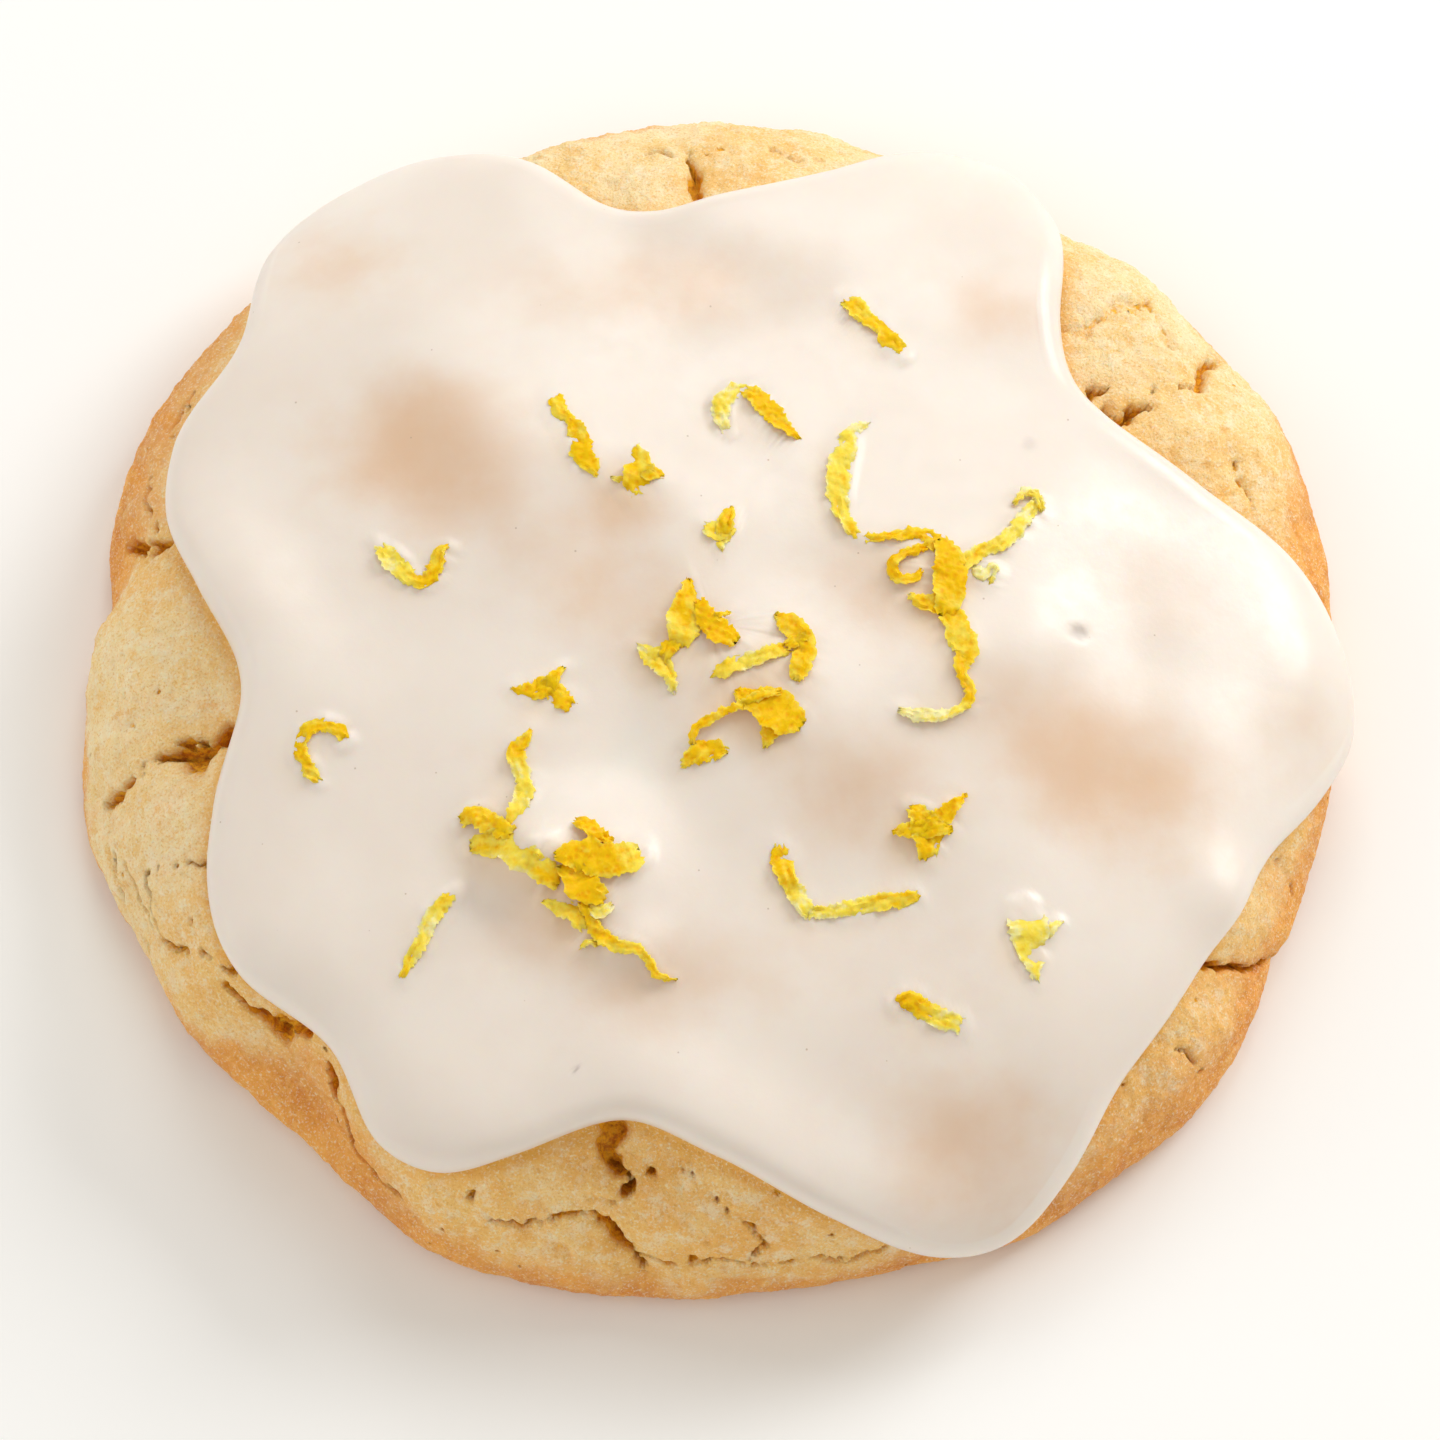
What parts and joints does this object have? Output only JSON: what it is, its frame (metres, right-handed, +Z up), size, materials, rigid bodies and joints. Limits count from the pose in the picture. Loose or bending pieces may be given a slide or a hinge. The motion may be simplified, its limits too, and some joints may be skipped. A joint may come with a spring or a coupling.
{
  "type": "glazed lemon cookie",
  "caption": "Round soft lemon cookie with a cracked domed crumb, a poured white icing that runs over the rim in lobes, and curled shreds of lemon zest.",
  "frame": {"origin": "middle of the cookie's box in plan, on the surface that it lies on", "axes": "+Z up out of the iced dome, +X to the cookie's right and +Y to its back as the picture shows it"},
  "size_m": [0.0764, 0.0748, 0.0181],
  "materials": {
    "crumb": "baked golden crumb, matte and sandy, browned round the base and deep gold in its cracks",
    "icing": "poured lemon icing, off-white, satin, slightly translucent, with deep golden to pale yellow zest shreds set in it"
  },
  "bodies": {
    "root": {"cookie": "crumb", "icing": "icing"}
  },
  "joints": []
}
